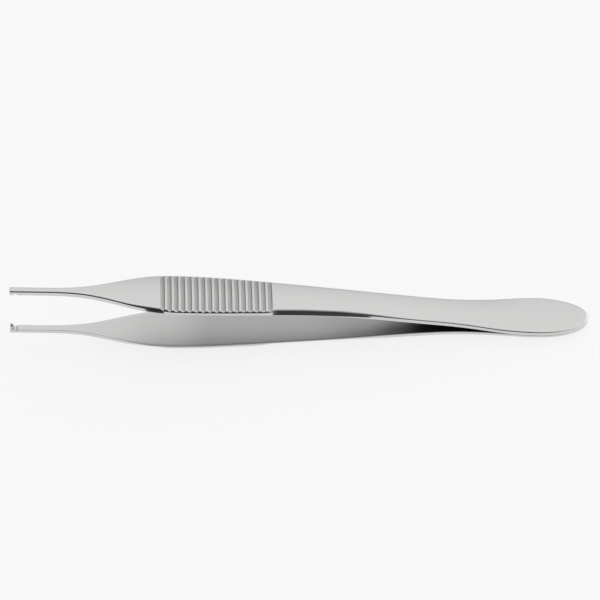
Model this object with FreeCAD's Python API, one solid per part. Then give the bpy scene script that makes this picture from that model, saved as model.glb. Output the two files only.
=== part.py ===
"""Fine-tipped thumb forceps for tissue, 12 cm, with one tooth meeting two.

Two forged stainless leaves are welded face to face at the heel. Each leaf has a slender
tip, a broad thumb grip with a fluted outer face, a thin spring length and a rounded heel.

Each leaf is drawn in the instrument's own frame: X runs from the tips (0) to the heel,
Y is across the leaf, and Z = 0 is the plane where the leaves meet. The skin of a leaf is
spread between smooth lines that run through its sections, and its round end is the last
section turned about a post. At the end the whole instrument is laid down as it rests on
a table, on the lower leaf's belly and its heel. Millimetres throughout.
"""
import FreeCAD, Part
import math
import os
from FreeCAD import Matrix, Placement, Rotation, Vector

# Length of the instrument, and the places along it. The first group is measured from the
# tips, the second from the heel end.
length = 120.0
tip_run = 7.0
neck_at = 14.5
flare_at = 21.6
shoulder_at = 28.0
grip_at = 35.0
grip_end = 56.0

spring_from_heel = 51.0
waist_from_heel = 38.0
throat_from_heel = 26.5
weld_run = 15.0
heel_round = 11.0

# Width of the leaf seen from above.
tip_width = 1.3
neck_width = 2.0
flare_width = 5.1
shoulder_width = 8.3
grip_width = 9.2
grip_end_width = 7.5
waist_width = 6.2
throat_width = 6.55
heel_width = 9.0

# Open gap between the inner faces with the forceps at rest.
tip_gap = 12.4
grip_gap = 11.5
grip_end_gap = 9.65
spring_gap = 7.6
waist_gap = 4.0
throat_gap = 1.46

# Thickness of one leaf on its centre line.
tip_thickness = 1.25
flare_thickness = 1.4
grip_end_thickness = 1.55
waist_thickness = 1.45
heel_thickness = 1.3

# The outer face is crowned across the leaf. Its edges are rounded, most of all behind the
# grip, and the inner edges are only broken.
crown_radius = 21.0
tip_edge_radius = 0.42
grip_edge_radius = 0.5
spring_edge_radius = 0.85
waist_edge_radius = 0.45
heel_edge_radius = 0.5
inner_edge_bevel = 0.1

# Flutes across the outer face of the grip. Each is a round groove that follows the crown
# and runs out through both walls, and a narrow land of the face is left between two.
flute_count = 17
flute_pitch = 1.375
first_flute = 30.9
flute_width = 0.9
flute_depth = 0.22

# The high spots behind the grip and at the heel, on which it lies, are polished flat.
seat_depth = 0.04
seat_search_step = 0.5

# Teeth at the tips: one on the upper leaf, which enters between two on the lower leaf.
tooth_height = 0.85
tooth_length = 0.75
tooth_width = 0.38
tooth_gap = 0.46
tooth_lean = 0.2
tooth_point = 0.08
tooth_root = 0.3
notch_length = 0.8
notch_depth = 0.35

# Distance between the sections that shape a leaf.
section_step = 3.6

spring_at = length - spring_from_heel
waist_at = length - waist_from_heel
throat_at = length - throat_from_heel
weld_at = length - weld_run
heel_at = length - heel_round
heel_stretch = heel_round / (heel_width / 2)
ALONG = Vector(1, 0, 0)
ACROSS = Vector(0, 1, 0)
UP = Vector(0, 0, 1)


class SmoothLine:
    """A size that changes smoothly along the leaf, level at the places in level."""

    def __init__(self, stations, level):
        points = [Vector(x, 0, size) for x, size in stations]
        self.curve = Part.BSplineCurve()
        self.curve.interpolate(Points=points, Parameters=[point.x for point in points],
                               Tangents=[ALONG] * len(points), Scale=False,
                               TangentFlags=[point.x in level for point in points])

    def at(self, x):
        return self.curve.value(x).z


width = SmoothLine([(0, tip_width), (tip_run, tip_width), (neck_at, neck_width),
                    (flare_at, flare_width), (shoulder_at, shoulder_width),
                    (grip_at, grip_width), (grip_end, grip_end_width),
                    (waist_at, waist_width), (throat_at, throat_width),
                    (heel_at, heel_width)], (tip_run, grip_at, waist_at, heel_at))
gap = SmoothLine([(0, tip_gap), (grip_at, grip_gap), (grip_end, grip_end_gap),
                  (spring_at, spring_gap), (waist_at, waist_gap), (throat_at, throat_gap),
                  (weld_at, 0)], (weld_at,))
thickness = SmoothLine([(0, tip_thickness), (flare_at, flare_thickness),
                        (grip_end, grip_end_thickness), (waist_at, waist_thickness),
                        (weld_at, heel_thickness), (length, heel_thickness)],
                       (weld_at, length))
edge_radius = SmoothLine([(0, tip_edge_radius), (flare_at, tip_edge_radius),
                          (grip_at, grip_edge_radius), (spring_at, spring_edge_radius),
                          (waist_at, waist_edge_radius), (heel_at, heel_edge_radius)],
                         (flare_at, spring_at, waist_at, heel_at))


def inner_height(x):
    """Height of the inner face above the meeting plane at one place along the leaf."""
    return 0.0 if x >= weld_at else gap.at(x) / 2


def crest_height(x):
    """Height of the middle of the outer face at one place along the leaf."""
    return inner_height(x) + thickness.at(x)


def rounded(start, start_way, end, end_way, radius):
    """Four poles of a rounded corner, which leaves start and reaches end along two ways."""
    turn = start_way.getAngle(end_way)
    handle = 4 / 3 * math.tan(turn / 4) * radius
    return [start, start + start_way * handle, end - end_way * handle, end]


def section(x):
    """Poles of one half of the section: inner bevel, rounded edge, and the crown.

    The crown's poles are its shoulder and the top of its arch, which lies over the middle.
    The wall runs straight from the bevel to the rounded edge.
    """
    half = width.at(x) / 2
    inner = inner_height(x)
    crest = crest_height(x)
    radius = edge_radius.at(x)
    slope = math.asin((half - radius) / (crown_radius - radius))
    shoulder_y = half - radius * (1 - math.sin(slope))
    drop = shoulder_y * math.tan(slope) / 2
    shoulder = Vector(x, shoulder_y, crest - drop)
    wall_top = Vector(x, half, shoulder.z - radius * math.cos(slope))
    inward = Vector(0, -math.cos(slope), math.sin(slope))
    bevel = [Vector(x, half - inner_edge_bevel, inner),
             Vector(x, half, inner + inner_edge_bevel)]
    edge = rounded(wall_top, UP, shoulder, inward, radius)
    return bevel, edge, [shoulder, Vector(x, 0, crest + drop)]


def mirrored(points):
    """The same points on the other side of the leaf, in the same order."""
    return [Vector(point.x, -point.y, point.z) for point in points]


def strips(x):
    """Poles across each face of the skin, all the way round the section."""
    bevel, edge, (shoulder, arch_top) = section(x)
    wall = [bevel[-1], edge[0]]
    crown = [shoulder, arch_top, mirrored([shoulder])[0]]
    inner_face = [mirrored(bevel)[0], bevel[0]]
    return [bevel, wall, edge, crown, mirrored(edge), mirrored(wall), mirrored(bevel),
            inner_face]


def spread(rows, places):
    """A smooth face along the leaf, from the poles of its sections."""
    lines = []
    for line in zip(*rows):
        curve = Part.BSplineCurve()
        curve.interpolate(Points=list(line), Parameters=places)
        lines.append(curve)
    first = lines[0]
    across = len(lines) - 1
    poles = [list(row) for row in zip(*[curve.getPoles() for curve in lines])]
    surface = Part.BSplineSurface()
    surface.buildFromPolesMultsKnots(poles, first.getMultiplicities(),
                                     [across + 1, across + 1], first.getKnots(), [0, 1],
                                     False, False, first.Degree, across)
    return surface.toShape()


def skin(start, end):
    """The leaf between two places, as a closed solid."""
    steps = max(3, round((end - start) / section_step))
    places = [start + (end - start) * step / steps for step in range(steps + 1)]
    sections = [strips(x) for x in places]
    faces = [spread(rows, places) for rows in zip(*sections)]
    for number in (0, -1):
        edges = [bezier(poles) for poles in sections[number]]
        faces.append(Part.Face(Part.Wire(Part.sortEdges(edges)[0])))
    shell = Part.makeShell(faces)
    shell.sewShape()
    return Part.makeSolid(shell)


def bezier(poles):
    """A curve from its poles, or a straight line from two."""
    if len(poles) == 2:
        return Part.makeLine(*poles)
    curve = Part.BezierCurve()
    curve.setPoles(poles)
    return curve.toShape()


def heel_end():
    """The round end: half of the heel's section turned about a post, then drawn out."""
    bevel, edge, (shoulder, arch_top) = section(heel_at)
    foot, crest = Vector(heel_at, 0, 0), Vector(heel_at, 0, crest_height(heel_at))
    crown = [shoulder, (shoulder + arch_top) / 2, crest]
    edges = [bezier(poles) for poles in
             ([foot, bevel[0]], bevel, [bevel[-1], edge[0]], edge, crown, [crest, foot])]
    face = Part.Face(Part.Wire(Part.sortEdges(edges)[0]))
    turned = face.revolve(foot, UP, -180)
    draw_out = Matrix()
    draw_out.move(-foot)
    draw_out.scale(heel_stretch, 1, 1)
    draw_out.move(foot)
    return turned.transformGeometry(draw_out)


def make_flute(number):
    """The ring-shaped cutter of one flute, about the axis of the crown."""
    x = first_flute + number * flute_pitch
    radius = (flute_width ** 2 / 4 + flute_depth ** 2) / (2 * flute_depth)
    ring = Part.makeTorus(crown_radius + radius - flute_depth, radius)
    ring.Placement = Placement(Vector(x, 0, crest_height(x) - crown_radius),
                               Rotation(ACROSS, 90))
    return ring


def wedge(corners, direction, size):
    """A flat-sided block from a closed outline, centred across the given direction."""
    face = Part.Face(Part.makePolygon(corners + corners[:1]))
    face.translate(direction * (-size / 2))
    return face.extrude(direction * size)


def make_tooth(y):
    """One tooth that points down from the inner face at the tip."""
    base = tip_gap / 2
    top, shoulder, point = base + tooth_root, base - tooth_height / 3, base - tooth_height
    side = [Vector(0, y, top), Vector(tooth_length, y, top), Vector(tooth_length, y, base),
            Vector(tooth_lean + tooth_point, y, point), Vector(tooth_lean, y, point),
            Vector(0, y, shoulder)]
    half, tip = tooth_width / 2, tooth_point / 2
    middle = tooth_length / 2
    front = [Vector(middle, y - half, top), Vector(middle, y + half, top),
             Vector(middle, y + half, shoulder), Vector(middle, y + tip, point),
             Vector(middle, y - tip, point), Vector(middle, y - half, shoulder)]
    return wedge(side, ACROSS, tip_width).common(wedge(front, ALONG, tooth_length))


def make_notch():
    """The hollow behind the teeth, where the other leaf's teeth come to lie."""
    radius = (notch_length ** 2 / 4 + notch_depth ** 2) / (2 * notch_depth)
    centre = Vector(tooth_length + notch_length / 2, -tip_width,
                    tip_gap / 2 + notch_depth - radius)
    return Part.makeCylinder(radius, 2 * tip_width, centre, ACROSS)


def heel_points():
    """The middle of the heel's outer face, from the last section to the rounded end."""
    shoulder, arch_top = section(heel_at)[2]
    drop = (arch_top.z - shoulder.z) / 2
    shares = [step / 20 for step in range(21)]
    return [(heel_at + heel_stretch * shoulder.y * share,
             crest_height(heel_at) - drop * share ** 2) for share in shares]


def support_line():
    """The straight line that touches the belly and the heel of a leaf from outside.

    It is given by its lean and the point of the belly that it touches.
    """
    lines = []
    for number in range(round((waist_at - grip_at) / seat_search_step) + 1):
        belly_at = grip_at + number * seat_search_step
        top = crest_height(belly_at)
        lean = min(math.atan2(top - z, x - belly_at) for x, z in heel_points())
        lines.append((lean, belly_at, top))
    return max(lines)


def make_seat():
    """A block outside the support line, let into the leaf by the depth of the flats."""
    lean, belly_at, top = support_line()
    block = Part.makeBox(2 * length, 2 * heel_width, heel_width,
                         Vector(-length, -heel_width, 0))
    block.Placement = Placement(Vector(belly_at, 0, top - seat_depth),
                                Rotation(ACROSS, math.degrees(lean)))
    return block


def make_leaf(tooth_places):
    """One leaf with its flutes, and a tooth at each place across the tip."""
    flutes = [make_flute(number) for number in range(flute_count)]
    arm = skin(0, weld_at).cut([make_notch()] + flutes)
    teeth = [make_tooth(y) for y in tooth_places]
    leaf = arm.fuse([skin(weld_at, heel_at), heel_end()] + teeth)
    return leaf.cut(make_seat()).Solids[0]


def lay_down(leaves):
    """Lay the instrument on its lower leaf's flats, centred over the origin."""
    lean = support_line()[0]
    turned = Placement(Vector(), Rotation(ACROSS, math.degrees(lean)))
    for leaf in leaves:
        leaf.Placement = turned
    box = Part.makeCompound(leaves).optimalBoundingBox(False, False)
    shift = Vector(-box.Center.x, -box.Center.y, -box.ZMin)
    for leaf in leaves:
        leaf.translate(shift)


def main():
    upper = make_leaf([0.0])
    beside = (tooth_gap + tooth_width) / 2
    lower = make_leaf([-beside, beside]).mirror(Vector(), UP)
    leaves = [upper, lower]
    lay_down(leaves)
    os.makedirs("parts", exist_ok=True)
    for name, leaf in zip(("upper_leaf", "lower_leaf"), leaves):
        leaf.exportStep("parts/" + name + ".step")
        box = leaf.optimalBoundingBox(False, False)
        print(name, leaf.isValid(), round(leaf.Volume, 2), len(leaf.Faces), box)


main()
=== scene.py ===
# %% [markdown]
# Thumb forceps for fine tissue, 12 cm long, in satin stainless steel.
#
# The CAD model already holds the two leaves at their real size. This lesson gives them the
# look of the real instrument. Steel shows every facet of a mesh in its reflections, so each
# leaf is built again as a fine, even mesh whose sizes are read from the CAD solids.

# %% Load the frame
import math
import bmesh
import bpy
import numpy as np
from mathutils import Matrix, Vector
from mathutils.bvhtree import BVHTree


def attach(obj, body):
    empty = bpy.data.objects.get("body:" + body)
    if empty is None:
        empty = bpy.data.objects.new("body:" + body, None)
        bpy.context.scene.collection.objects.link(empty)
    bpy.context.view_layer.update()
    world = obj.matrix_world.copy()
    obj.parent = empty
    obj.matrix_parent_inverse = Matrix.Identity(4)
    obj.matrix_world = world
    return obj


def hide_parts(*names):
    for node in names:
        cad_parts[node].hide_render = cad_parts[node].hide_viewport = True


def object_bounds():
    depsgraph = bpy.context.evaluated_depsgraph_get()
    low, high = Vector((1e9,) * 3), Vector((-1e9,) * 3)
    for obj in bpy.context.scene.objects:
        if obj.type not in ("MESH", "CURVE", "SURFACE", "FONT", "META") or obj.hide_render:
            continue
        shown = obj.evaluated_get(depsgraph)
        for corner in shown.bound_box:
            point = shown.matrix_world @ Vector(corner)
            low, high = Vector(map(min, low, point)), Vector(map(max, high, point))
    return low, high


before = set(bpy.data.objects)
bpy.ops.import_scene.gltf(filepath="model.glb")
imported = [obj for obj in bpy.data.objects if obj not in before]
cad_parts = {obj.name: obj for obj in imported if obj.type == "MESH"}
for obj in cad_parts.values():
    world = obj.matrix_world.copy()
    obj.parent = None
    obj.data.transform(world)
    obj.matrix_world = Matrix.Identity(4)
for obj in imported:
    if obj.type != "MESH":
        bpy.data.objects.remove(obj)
cad_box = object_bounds()
MM = 0.001
print("CAD box, mm:", [[round(value / MM, 2) for value in corner] for corner in cad_box])

# %% [markdown]
# The instrument lies on a table with its tips a little raised. It is easier to draw in a
# frame of its own, where X runs from the tips to the heel and Z = 0 is the plane in which
# the two leaves meet. That plane lies halfway between the top of the upper leaf and the
# bottom of the lower one, so the lean between the two frames can be measured with rays.

# %% The drawing frame
FAR = 50.0


def probe(surface, start, direction):
    """Where a ray meets the surface, in millimetres."""
    return surface.ray_cast(Vector(start), Vector(direction))[0]


def surface_of(node, turn=Matrix()):
    """A CAD node's surface in millimetres, turned into another frame."""
    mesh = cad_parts[node].data
    corners = [turn @ (vertex.co / MM) for vertex in mesh.vertices]
    return BVHTree.FromPolygons(corners, [face.vertices[:] for face in mesh.polygons])


on_table = {name: surface_of(name) for name in ("upper_leaf", "lower_leaf")}


def middle_height(x):
    """Height of the meeting plane over the table, halfway between top and bottom."""
    top = probe(on_table["upper_leaf"], (x, 0, FAR), (0, 0, -1)).z
    bottom = probe(on_table["lower_leaf"], (x, 0, -FAR), (0, 0, 1)).z
    return (top + bottom) / 2


clear_of_teeth, clear_of_round_end = 10.0, 12.0
near_tip = cad_box[0].x / MM + clear_of_teeth
near_heel = cad_box[1].x / MM - clear_of_round_end
drop = middle_height(near_tip) - middle_height(near_heel)
lean = math.atan2(drop, near_heel - near_tip)
heel_middle = Vector((near_heel, 0, middle_height(near_heel)))
to_table = Matrix.Translation(heel_middle) @ Matrix.Rotation(lean, 4, "Y")
along = [(to_table.inverted() @ (vertex.co / MM)).x
         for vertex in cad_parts["upper_leaf"].data.vertices]
to_table = to_table @ Matrix.Translation((min(along), 0, 0))
length = max(along) - min(along)
print("lean:", round(math.degrees(lean), 2), "degrees; length:", round(length, 2), "mm")

# %% [markdown]
# The flutes are the round grooves across the grip that keep a wet glove from slipping. They
# show as dips in the height of the outer face, which is read with close rays from above. A
# moving average over one pitch stands for the plain face, and the lowest points below it
# are the middles of the flutes. So the picture and the solids have them in the same places.

# %% Find the flutes
leaf = surface_of("upper_leaf", to_table.inverted())
flute_pitch = 1.375
flute_depth = 0.22


def crest_of(x):
    """Height of the middle of the outer face over the meeting plane."""
    return probe(leaf, (x, 0, FAR), (0, 0, -1)).z


grip_from, grip_to = 25.0, 62.0
fine_step = 0.02
fine = np.arange(grip_from, grip_to, fine_step)
fine_crest = np.array([crest_of(x) for x in fine])
window = round(flute_pitch / fine_step)
relief = fine_crest - np.convolve(fine_crest, np.ones(window) / window, "same")
dips = [fine[k] for k in range(window, len(fine) - window)
        if relief[k] == min(relief[k - window // 2:k + window // 2])
        and relief[k] < -flute_depth / 3]
flute_count = round((dips[-1] - dips[0]) / flute_pitch) + 1
flutes = np.linspace(dips[0], dips[-1], flute_count)
print(flute_count, "flutes from", round(flutes[0], 2), "to", round(flutes[-1], 2), "mm")

# %% [markdown]
# Now the leaf is measured every half millimetre. Rays from above give the crest of the
# outer face, rays from the meeting plane give the inner face, and rays from the side give
# the width. Between the flutes, the plain face is read on the lands. A short moving average
# takes the CAD mesh's facets out of the sizes.

# %% Measure the leaf
heel_round = 11.0
heel_at = length - heel_round
weld_run = 15.0
weld_at = length - weld_run
behind_teeth, short_of_heel = 2.0, 0.1
beside_flutes = 1.0
step = 0.5
places = np.arange(0.0, heel_at + step, step)
plain = [x for x in np.arange(behind_teeth, heel_at - short_of_heel, step)
         if not flutes[0] - beside_flutes < x < flutes[-1] + beside_flutes]
lands = [(a + b) / 2 for a, b in zip(flutes, flutes[1:])]
spots = sorted(plain + lands)
over_broken_edge = 0.15


def inner_of(x):
    """Height of the inner face over the meeting plane, on which it is welded."""
    return probe(leaf, (x, 0, -1), (0, 0, 1)).z if x < weld_at else 0.0


def half_width_of(x):
    """Reach of the wall, just above the broken edge at its foot."""
    height = inner_of(x) + over_broken_edge
    return probe(leaf, (x, FAR, height), (0, -1, 0)).y


def measured(size_of):
    """A size read at every plain spot, then evened out over its near neighbours."""
    ahead, reach = 6, 4
    read = [size_of(x) for x in spots]
    slope = (read[ahead] - read[0]) / (spots[ahead] - spots[0])
    at_tip = read[0] - slope * spots[0]
    sizes = np.interp(places, [0.0] + spots, [at_tip] + read)
    before = 2 * sizes[0] - sizes[reach:0:-1]
    after = 2 * sizes[-1] - sizes[-2:-2 - reach:-1]
    weights = np.hanning(2 * reach + 3)[1:-1]
    padded = np.concatenate([before, sizes, after])
    return np.convolve(padded, weights / weights.sum(), "valid")


crest_line = measured(crest_of)
inner_line = np.where(places < weld_at, np.maximum(measured(inner_of), 0.0), 0.0)
width_line = measured(half_width_of)
print("thickness, mm:", np.round((crest_line - inner_line)[::24], 2))
print("half width, mm:", np.round(width_line[::24], 2))

# %% [markdown]
# Across the leaf, a section starts in the middle of the inner face, turns a broken edge,
# climbs the wall, rounds the outer edge and ends at the top of the crown. Along the grip
# the near edge is ground back more than the far one, and beside the flutes its wall leans
# above an upright foot. The crown of the upper leaf is flatter at the heel. Short tables
# give these sizes along the leaf, and the ease between two of their entries is smooth.

# %% One section of the leaf
bevel = 0.1
edge_rounds = {"far": [(0.0, 0.42), (21.6, 0.42), (35.0, 0.5), (69.0, 0.85), (82.0, 0.45),
                       (length, 0.4)],
               "near": [(0.0, 0.42), (21.6, 0.42), (28.0, 0.8), (51.0, 0.88),
                        (54.0, 1.05), (68.0, 1.05), (84.0, 0.45), (length, 0.4)]}
wall_leans = {"far": [(0.0, 0.0), (length, 0.0)],
              "near": [(0.0, 0.0), (23.0, 0.0), (29.0, 26.0), (30.5, 26.0), (33.0, 0.0),
                       (51.8, 0.0), (53.8, 28.0), (72.0, 28.0), (80.0, 0.0),
                       (length, 0.0)]}
foot_heights = {"far": [(0.0, 0.04), (length, 0.04)],
                "near": [(0.0, 0.04), (64.0, 0.04), (76.0, 0.42), (84.0, 0.3), (95.0, 0.04),
                         (length, 0.04)]}
crown_at_grip = 21.0
crown_radii = {"upper": [(0.0, crown_at_grip), (98.0, crown_at_grip), (110.0, 60.0),
                         (length, 60.0)],
               "lower": [(0.0, crown_at_grip), (length, crown_at_grip)]}
notch_at, notch_half, notch_depth = 1.15, 0.4, 0.35
notch_radius = (notch_half ** 2 + notch_depth ** 2) / (2 * notch_depth)
inner_points, bevel_points, foot_points = 8, 4, 3
wall_points, edge_points, crown_points = 11, 10, 13


def eased(x, entries):
    """A size between two entries of a table, with no kink at either."""
    for (x0, size0), (x1, size1) in zip(entries, entries[1:]):
        if x <= x1:
            share = (x - x0) / (x1 - x0)
            return size0 + (size1 - size0) * share * share * (3 - 2 * share)
    return entries[-1][1]


def notch_rise(x):
    """How far the hollow behind the teeth rises into the inner face."""
    if abs(x - notch_at) >= notch_half:
        return 0.0
    reach = math.sqrt(notch_radius ** 2 - (x - notch_at) ** 2)
    return reach - notch_radius + notch_depth


def half_section(x, side="far", which="lower"):
    """Points (y, z) of half a section with their outward directions and kind of face."""
    half = float(np.interp(x, places, width_line))
    crest = float(np.interp(x, places, crest_line))
    inner = float(np.interp(x, places, inner_line)) + notch_rise(x)
    radius = eased(x, edge_rounds[side])
    crown_radius = eased(x, crown_radii[which])
    wall_lean = math.radians(eased(x, wall_leans[side]))
    foot_top = inner + bevel + eased(x, foot_heights[side])
    rise = crown_radius - (crest - foot_top)
    across = half * math.cos(wall_lean) - radius + rise * math.sin(wall_lean)
    slope = math.asin(across / (crown_radius - radius)) - wall_lean
    crown_centre = crest - crown_radius
    edge_y = (crown_radius - radius) * math.sin(slope)
    edge_z = crown_centre + (crown_radius - radius) * math.cos(slope)
    points = [(y, inner, 0, -1, "inner")
              for y in np.linspace(0, half - bevel, inner_points)[:-1]]
    for turn in np.linspace(0, math.pi / 2, bevel_points):
        out, up = math.sin(turn), -math.cos(turn)
        points.append((half - bevel + bevel * out, inner + bevel + bevel * up, out, up,
                       "wall"))
    points += [(half, z, 1, 0, "wall")
               for z in np.linspace(inner + bevel, foot_top, foot_points)[1:]]
    out, up = math.cos(wall_lean), math.sin(wall_lean)
    top_y, top_z = edge_y + radius * out, edge_z + radius * up
    points += [(half + share * (top_y - half), foot_top + share * (top_z - foot_top),
                out, up, "wall") for share in np.linspace(0, 1, wall_points)[1:-1]]
    for turn in np.linspace(wall_lean, math.pi / 2 - slope, edge_points):
        out, up = math.cos(turn), math.sin(turn)
        points.append((edge_y + radius * out, edge_z + radius * up, out, up, "edge"))
    for turn in np.linspace(slope, 0, crown_points)[1:]:
        out, up = math.sin(turn), math.cos(turn)
        points.append((crown_radius * out, crown_centre + crown_radius * up, out, up,
                       "crown"))
    return points


print("points in half a section:", len(half_section(40.0)))

# %% [markdown]
# A flute is a round groove. It follows the crown across the leaf and runs out through the
# wall. In the section at one place, it takes off everything outside a circle about the
# middle of the crown. So the wall is drawn up to that circle and no further, and the points
# of the crown come down onto it. The number of points stays, which keeps the grid whole.

# %% Cut the flutes
flute_width = 0.9
flute_round = (flute_width ** 2 / 4 + flute_depth ** 2) / (2 * flute_depth)
flute_turn = math.asin(flute_width / 2 / flute_round)
tip_round = 0.1
hair = 0.0001
tip_stations, groove_stations, plain_step = 5, 15, 0.4
past_notch, beside_flute, beside_grip = 1.02, 0.06, 0.8


def flute_cut(x):
    """Depth of the flutes below the crown at one place along the leaf."""
    offset = min(abs(flutes - x))
    if offset > flute_width / 2 - hair:
        return 0.0
    return math.sqrt(flute_round ** 2 - offset ** 2) - flute_round + flute_depth


def fluted(x, points):
    """Half a section after the flute has been cut: points and kinds of face."""
    places_yz = [(y, z) for y, z, _, _, _ in points]
    kinds = [kind for _, _, _, _, kind in points]
    cut = flute_cut(x)
    if cut == 0.0:
        return places_yz, kinds
    centre = places_yz[-1][1] - crown_at_grip
    circle = crown_at_grip - cut
    reach = [math.hypot(y, z - centre) for y, z in places_yz]
    first_wall, first_crown = kinds.index("wall"), kinds.index("crown")
    above = next(k for k in range(first_wall, len(reach)) if reach[k] > circle)
    share = (circle - reach[above - 1]) / (reach[above] - reach[above - 1])
    numbers = np.linspace(first_wall, above - 1 + share, first_crown - first_wall)
    ys, zs = np.array(places_yz).T
    order = np.arange(len(points))
    wall = list(zip(np.interp(numbers, order, ys), np.interp(numbers, order, zs)))
    y_cross = wall[-1][0]
    crown = []
    for y in np.linspace(y_cross, 0.0, len(points) - first_crown + 1)[1:]:
        crown.append((y, centre + math.sqrt(circle ** 2 - y ** 2)))
    marks = ["flute"] * len(crown)
    return places_yz[:first_wall] + wall + crown, kinds[:first_crown] + marks


def section_places():
    """Where the sections stand, closest at the tip, in the notch and in the flutes."""
    spots = [tip_round * (1 - math.cos(turn))
             for turn in np.linspace(0, math.pi / 2, tip_stations)]
    spots += list(notch_at + notch_half * np.linspace(-past_notch, past_notch,
                                                      groove_stations))
    beside = flute_width / 2 + beside_flute
    for flute in flutes:
        spots += [flute + flute_round * math.sin(turn)
                  for turn in np.linspace(-flute_turn, flute_turn, groove_stations)]
        spots += [flute - beside, flute + beside]
    fluted_run = (flutes[0] - beside_grip, flutes[-1] + beside_grip)
    spots += [x for x in np.arange(behind_teeth, heel_at - plain_step / 2, plain_step)
              if not fluted_run[0] < x < fluted_run[1]]
    return sorted(spots) + [heel_at]


stations = section_places()
print(len(stations), "sections")

# %% [markdown]
# The mesh is a grid of sections. At the tip it is closed with one flat face. At the heel,
# half of the last section is turned about the middle of the leaf and drawn out, which
# makes the round end. Three numbers are kept at each point for the finish: one is 1 where
# the polishing wheel has been, one is 1 in the flutes, and one says how much painted shade
# darkens the inner face toward the throat, where the leaves shade each other.

# %% Build a leaf
heel_turns = 56
# Painted shade: how dark the inner face is painted along the leaf, darkest toward the throat
# where the leaves shade each other.
throat_shade_marks = [(0.0, 0.0), (20.0, 0.05), (32.0, 0.16), (42.0, 0.36), (60.0, 0.38),
              (74.0, 0.5), (80.0, 0.66), (86.0, 0.95), (length, 1.0)]


def tip_setback(x):
    """How far the section draws in where the tip's end is rounded."""
    if x >= tip_round:
        return 0.0
    return tip_round - math.sqrt(tip_round ** 2 - (tip_round - x) ** 2)


def leaf_points(which):
    """All points of a leaf and their kinds, as rings and then as turns of the heel."""
    points, kinds = [], []
    for x in stations:
        back = tip_setback(x)
        halves = []
        for side in ("far", "near"):
            drawn_in = [(y - back * out, z - back * rise, out, rise, kind)
                        for y, z, out, rise, kind in half_section(x, side, which)]
            halves.append(fluted(x, drawn_in))
        (right, marks), (left, left_marks) = halves
        points += [(x, y, z) for y, z in right]
        points += [(x, -y, z) for y, z in left[-2:0:-1]]
        kinds += marks + left_marks[-2:0:-1]
    stretch = heel_round / max(y for y, z in right)
    for number in range(1, heel_turns):
        turn = math.pi * number / heel_turns
        for (y, z), kind in zip(right[1:-1], marks[1:-1]):
            points.append((heel_at + stretch * y * math.sin(turn), y * math.cos(turn), z))
            kinds.append(kind)
    return points, kinds


def leaf_faces():
    """Corner numbers of every face, for the points in the order of leaf_points."""
    half = len(half_section(stations[0]))
    ring = 2 * half - 2
    faces = [tuple(range(ring))]
    for number in range(len(stations) - 1):
        here, ahead = number * ring, (number + 1) * ring
        for k in range(ring):
            after = (k + 1) % ring
            faces.append((here + k, ahead + k, ahead + after, here + after))
    last = (len(stations) - 1) * ring
    heel = last + ring

    def corner(turn, k):
        if k in (0, half - 1) or turn == 0:
            return last + k
        if turn == heel_turns:
            return last + (ring - k) % ring
        return heel + (turn - 1) * (half - 2) + k - 1

    for turn in range(heel_turns):
        for k in range(half - 1):
            loop = [corner(turn, k), corner(turn + 1, k), corner(turn + 1, k + 1),
                    corner(turn, k + 1)]
            faces.append(tuple(dict.fromkeys(loop)))
    return faces


def make_leaf(name, which):
    """The upper or the lower leaf as a mesh object."""
    side = 1 if which == "upper" else -1
    points, kinds = leaf_points(which)
    # Painted shade on the inner faces only, darker toward the throat.
    throat_shades = [eased(x, throat_shade_marks) * (kind == "inner")
             for (x, y, z), kind in zip(points, kinds)]
    placed = [(to_table @ Vector((x, y, side * z))) * MM for x, y, z in points]
    mesh = bpy.data.meshes.new(name)
    mesh.from_pydata(placed, [], leaf_faces())
    marks = {"polish": [float(kind in ("wall", "edge")) for kind in kinds],
             "flute": [float(kind == "flute") for kind in kinds], "throat_shade": throat_shades}
    for mark, values in marks.items():
        mesh.attributes.new(mark, "FLOAT", "POINT").data.foreach_set("value", values)
    shell = bmesh.new()
    shell.from_mesh(mesh)
    bmesh.ops.recalc_face_normals(shell, faces=shell.faces)
    shell.to_mesh(mesh)
    shell.free()
    piece = bpy.data.objects.new(name, mesh)
    bpy.context.scene.collection.objects.link(piece)
    return piece


upper = make_leaf("upper_leaf_steel", "upper")
lower = make_leaf("lower_leaf_steel", "lower")
print("faces in a leaf:", len(upper.data.polygons))

# %% [markdown]
# At the very tip the upper leaf has one tooth, which closes between two teeth of the lower
# leaf. A tooth is filed from the end of the leaf: flat in front, sloped behind, pointed.
# It is the hull of a few corners, and a boolean union grows it out of the leaf.

# %% The teeth
tooth = {"length": 0.75, "width": 0.38, "height": 0.85, "lean": 0.2, "point": 0.08,
         "root": 0.3, "gap": 0.46, "set_in": 0.02}


def tooth_corners(y):
    """Corners of one tooth that points down from the inner face of the upper leaf."""
    base = float(np.interp(0.0, places, inner_line))
    shoulder, point = base - tooth["height"] / 3, base - tooth["height"]
    back = tooth["lean"] + tooth["point"]
    back_at_shoulder = tooth["length"] - (tooth["length"] - back) / 3
    corners = []
    for side in (-1, 1):
        wide = y + side * tooth["width"] / 2
        narrow = y + side * tooth["point"] / 2
        corners += [(tooth["set_in"], wide, base + tooth["root"]),
                    (tooth["set_in"], wide, shoulder),
                    (tooth["length"], wide, base + tooth["root"]),
                    (tooth["length"], wide, base), (back_at_shoulder, wide, shoulder),
                    (tooth["lean"], narrow, point), (back, narrow, point)]
    return corners


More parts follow.
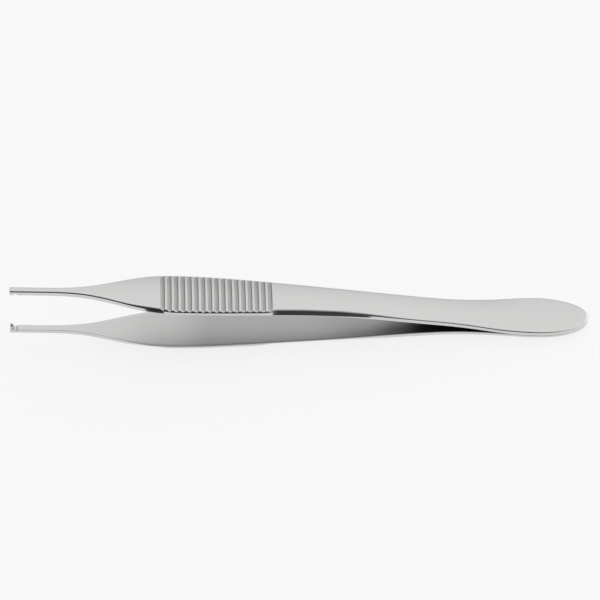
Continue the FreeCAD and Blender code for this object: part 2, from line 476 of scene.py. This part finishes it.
def add_tooth(piece, side, y):
    """Grow one tooth out of a leaf."""
    shell = bmesh.new()
    for x, across, z in tooth_corners(y):
        shell.verts.new((to_table @ Vector((x, across, side * z))) * MM)
    bmesh.ops.convex_hull(shell, input=shell.verts)
    mesh = bpy.data.meshes.new("tooth")
    shell.to_mesh(mesh)
    shell.free()
    cutter = bpy.data.objects.new("tooth", mesh)
    bpy.context.scene.collection.objects.link(cutter)
    union = piece.modifiers.new("tooth", "BOOLEAN")
    union.operation, union.solver, union.object = "UNION", "EXACT", cutter
    seen = piece.evaluated_get(bpy.context.evaluated_depsgraph_get())
    piece.data = bpy.data.meshes.new_from_object(seen)
    piece.modifiers.clear()
    bpy.data.objects.remove(cutter)


beside = (tooth["gap"] + tooth["width"]) / 2
add_tooth(upper, 1, 0.0)
for y in (-beside, beside):
    add_tooth(lower, -1, y)
sharp_from = math.radians(32)
for piece in (upper, lower):
    piece.data.shade_smooth()
    piece.data.set_sharp_from_angle(angle=sharp_from)
print("faces with teeth:", len(upper.data.polygons), len(lower.data.polygons))

# %% [markdown]
# Each leaf rides on the one body of the instrument and stands for its CAD node.

# %% Fasten the leaves to the frame
for piece, node in ((upper, "upper_leaf"), (lower, "lower_leaf")):
    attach(piece, "root")
    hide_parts(node)
    print(piece.name, "stands for", node)

# %% [markdown]
# The steel is a hardened stainless steel. After forging and grinding it is blasted or
# brushed to a satin face that does not dazzle under a theatre lamp, and its edges are then
# polished so that they are kind to a glove. So the face is soft and even, with a fine
# grain along the leaf, and the edges are bright lines. Stainless steel reflects a little
# over six tenths of the light, hardly tinted. The flutes are painted a darker steel, as
# painted shade in the grooves, and the inner faces are painted dark toward the throat, as
# painted shade between the leaves. A real satin grain is about 0.04 mm wide, too fine to
# show here, so it is drawn three times as wide.

# %% Satin stainless steel
def linear(hex_colour):
    """An sRGB colour written as hex, as the linear colour that shaders use."""
    values = [int(hex_colour[k:k + 2], 16) / 255 for k in (1, 3, 5)]
    return [v / 12.92 if v <= 0.04045 else ((v + 0.055) / 1.055) ** 2.4
            for v in values] + [1.0]


def add_node(tree, kind, settings=(), inputs=(), links=()):
    """One shader node with its settings, fixed inputs and incoming links."""
    # An input goes by its name, or by its number where the names of two are the same.
    node = tree.nodes.new(kind)
    for name, value in dict(settings).items():
        setattr(node, name, value)
    for name, value in dict(inputs).items():
        node.inputs[name].default_value = value
    for name, socket in dict(links).items():
        tree.links.new(socket, node.inputs[name])
    return node


def new_material(name):
    """A material with an empty node tree and its output."""
    material = bpy.data.materials.new(name)
    material.use_nodes = True
    material.node_tree.nodes.clear()
    output = material.node_tree.nodes.new("ShaderNodeOutputMaterial")
    return material, material.node_tree, output


def satin_stainless():
    """Satin faces with a fine grain, polished edges, and painted shade in flutes and throat."""
    material, tree, output = new_material("satin_stainless_steel")
    grain_mm, grain_run_mm, grain_height_mm = 0.12, 3.0, 0.002
    satin_from, satin_to, polished, grain_on_polish = 0.27, 0.39, 0.16, 0.1
    place = add_node(tree, "ShaderNodeTexCoord").outputs["Object"]
    drawn = add_node(tree, "ShaderNodeMapping",
                     inputs={"Scale": (1 / (grain_run_mm * MM), 1 / (grain_mm * MM),
                                       1 / (grain_mm * MM))},
                     links={"Vector": place}).outputs["Vector"]
    grain = add_node(tree, "ShaderNodeTexNoise",
                     inputs={"Scale": 1.0, "Detail": 3.0, "Roughness": 0.6},
                     links={"Vector": drawn}).outputs["Fac"]
    marks = {mark: add_node(tree, "ShaderNodeAttribute", {"attribute_name": mark}).outputs["Fac"]
             for mark in ("polish", "flute", "throat_shade")}
    polish = marks["polish"]
    satin = add_node(tree, "ShaderNodeMapRange",
                     inputs={"To Min": satin_from, "To Max": satin_to},
                     links={"Value": grain}).outputs["Result"]
    rough = add_node(tree, "ShaderNodeMix", {"data_type": "FLOAT"},
                     {3: polished}, {"Factor": polish, 2: satin}).outputs[0]
    height = add_node(tree, "ShaderNodeMapRange",
                      inputs={"To Min": 1.0, "To Max": grain_on_polish},
                      links={"Value": polish}).outputs["Result"]
    bump = add_node(tree, "ShaderNodeBump", inputs={"Distance": grain_height_mm * MM},
                    links={"Height": grain, "Strength": height})
    # Painted shade: the flutes get a darker steel colour, standing in for the shade in the
    # grooves.
    colour = add_node(tree, "ShaderNodeMix", {"data_type": "RGBA"},
                      {6: linear("#D3D3D2"), 7: linear("#A6A6A5")},
                      {"Factor": marks["flute"]}).outputs[2]
    # Painted shade: the inner faces are darkened toward the throat, standing in for the shade
    # between the leaves.
    colour = add_node(tree, "ShaderNodeMix", {"data_type": "RGBA"},
                      {7: linear("#3C3C3C")},
                      {"Factor": marks["throat_shade"], 6: colour}).outputs[2]
    steel = add_node(tree, "ShaderNodeBsdfPrincipled", inputs={"Metallic": 1.0},
                     links={"Base Color": colour, "Roughness": rough,
                            "Normal": bump.outputs["Normal"]})
    tree.links.new(steel.outputs["BSDF"], output.inputs["Surface"])
    return material


steel = satin_stainless()
for piece in (upper, lower):
    piece.data.materials.clear()
    piece.data.materials.append(steel)
print("finish:", steel.name)

# %% [markdown]
# The instrument lies on a wide seamless sheet of matt white paper. A paper sheet under
# soft light is never quite white in a picture, so to the eye, and in the mirror of the
# steel, part of its white is its own and does not depend on the light. The rest is plain
# paper, which holds the soft shadow under the instrument. The sheet ends just in front of
# the picture, so what an edge mirrors from a little below level is the room, not the paper.

# %% The white sheet
def white_paper(own_white=0.8):
    """Matt white paper, with a share of white that the shadow does not reach."""
    material, tree, output = new_material("matt_white_paper")
    paper = add_node(tree, "ShaderNodeBsdfDiffuse", inputs={"Color": linear("#F8F8F8")})
    white = add_node(tree, "ShaderNodeEmission", inputs={"Color": linear("#FFFFFF")})
    rays = add_node(tree, "ShaderNodeLightPath").outputs
    seen = rays["Is Camera Ray"]
    for kind in ("Is Glossy Ray", "Is Transmission Ray"):
        seen = add_node(tree, "ShaderNodeMath", {"operation": "MAXIMUM"},
                        links={0: seen, 1: rays[kind]}).outputs["Value"]
    share = add_node(tree, "ShaderNodeMath", {"operation": "MULTIPLY"}, {1: own_white},
                     {0: seen}).outputs["Value"]
    mixed = add_node(tree, "ShaderNodeMixShader",
                     links={0: share, 1: paper.outputs["BSDF"],
                            2: white.outputs["Emission"]})
    tree.links.new(mixed.outputs["Shader"], output.inputs["Surface"])
    return material


def make_sheet(size=6.0, in_front=0.078):
    """A flat sheet that ends just in front of the picture."""
    mesh = bpy.data.meshes.new("sheet")
    half = size / 2
    corners = [(-half, -in_front, 0), (half, -in_front, 0), (half, half, 0),
               (-half, half, 0)]
    mesh.from_pydata(corners, [], [(0, 1, 2, 3)])
    mesh.materials.append(white_paper())
    sheet = bpy.data.objects.new("paper_sheet", mesh)
    bpy.context.scene.collection.objects.link(sheet)
    return sheet


sheet = make_sheet()
print("sheet at height", sheet.location.z)

# %% [markdown]
# The photograph is taken with a long lens from in front and above. The camera looks down
# at 55 degrees, from 50 cm away and a little to the left, and is tilted by a hair. Its lens
# follows from the scale of the picture, and its aim from the place of the leaf's middle.

# %% The camera
elevation = math.radians(55.0)
azimuth = math.radians(-2.2)
roll = math.radians(-0.25)
distance = 500.0
pixels_per_mm = 4.84
frame_pixels = 600
centre_pixel = Vector((302.2, 314.5))
sensor_mm = 36.0

toward = Vector((math.sin(azimuth) * math.cos(elevation),
                 -math.cos(azimuth) * math.cos(elevation), math.sin(elevation)))
right = Vector((math.cos(azimuth), math.sin(azimuth), 0))
up = toward.cross(right)
right, up = (right * math.cos(roll) + up * math.sin(roll),
             up * math.cos(roll) - right * math.sin(roll))
aim = to_table @ Vector((length / 2, 0, 0))
aside = (right * (frame_pixels / 2 - centre_pixel.x)
         + up * (centre_pixel.y - frame_pixels / 2)) / pixels_per_mm
camera = bpy.data.objects.new("camera", bpy.data.cameras.new("camera"))
camera.data.sensor_width = sensor_mm
camera.data.lens = sensor_mm * pixels_per_mm * distance / frame_pixels
camera.data.clip_start, camera.data.clip_end = 0.05, 5.0
turned = Matrix((right, up, toward)).transposed().to_4x4()
camera.matrix_world = Matrix.Translation((aim + aside + toward * distance) * MM) @ turned
bpy.context.scene.collection.objects.link(camera)
bpy.context.scene.camera = camera
print("lens:", round(camera.data.lens, 1), "mm")

# %% [markdown]
# The light is that of a small white studio, an even white all round but for four places.
# The dark wall on the camera's side turns the rounded near edges, which look that way, into
# dark lines. A door low on the left darkens the right flank of every flute, a grey wall low
# at the back dims the far edges, and a window low on the right brightens the heel's rim.

# %% The studio room
def facing(up_degrees, heading_degrees):
    """Unit vector so many degrees up, and so many to the right of straight behind."""
    up_angle, side = math.radians(up_degrees), math.radians(heading_degrees)
    return (math.sin(side) * math.cos(up_angle), math.cos(side) * math.cos(up_angle),
            math.sin(up_angle))


def patch(tree, way, centre, full_to, gone_at):
    """1 within so many degrees of a direction, falling smoothly to 0."""
    near = add_node(tree, "ShaderNodeVectorMath", {"operation": "DOT_PRODUCT"},
                    {1: centre}, {0: way}).outputs["Value"]
    return add_node(tree, "ShaderNodeMapRange", {"interpolation_type": "SMOOTHSTEP"},
                    {"From Min": math.cos(math.radians(gone_at)),
                     "From Max": math.cos(math.radians(full_to))},
                    {"Value": near}).outputs["Result"]


def studio_room():
    """An even white room with a dark wall, a door, a grey back wall and a window."""
    white, darkest, door_depth, back_depth, window_glow = 1.0, 0.03, 0.65, 0.32, 0.5
    world = bpy.data.worlds.new("studio_room")
    world.use_nodes = True
    tree = world.node_tree
    tree.nodes.clear()
    output = tree.nodes.new("ShaderNodeOutputWorld")
    way = add_node(tree, "ShaderNodeTexCoord").outputs["Generated"]
    wall = patch(tree, way, facing(4.0, 202.0), full_to=32.0, gone_at=80.0)
    door = patch(tree, way, facing(8.0, 300.0), full_to=15.0, gone_at=48.0)
    window = patch(tree, way, facing(5.0, 66.0), full_to=15.0, gone_at=42.0)
    back = patch(tree, way, facing(0.0, 8.0), full_to=14.0, gone_at=52.0)
    dark = wall
    for place, depth in ((door, door_depth), (back, back_depth)):
        dim = add_node(tree, "ShaderNodeMath", {"operation": "MULTIPLY"}, {1: depth},
                       {0: place}).outputs["Value"]
        dark = add_node(tree, "ShaderNodeMath", {"operation": "MAXIMUM"},
                        links={0: dark, 1: dim}).outputs["Value"]
    shade = add_node(tree, "ShaderNodeMapRange",
                     inputs={"To Min": white, "To Max": darkest},
                     links={"Value": dark}).outputs["Result"]
    lit = add_node(tree, "ShaderNodeMath", {"operation": "MULTIPLY_ADD"}, {1: window_glow},
                   {0: window, 2: shade}).outputs["Value"]
    glow = add_node(tree, "ShaderNodeBackground", links={"Color": lit})
    tree.links.new(glow.outputs["Background"], output.inputs["Surface"])
    bpy.context.scene.world = world


studio_room()
bpy.context.scene.view_settings.view_transform = "Standard"
print("world:", bpy.context.scene.world.name)
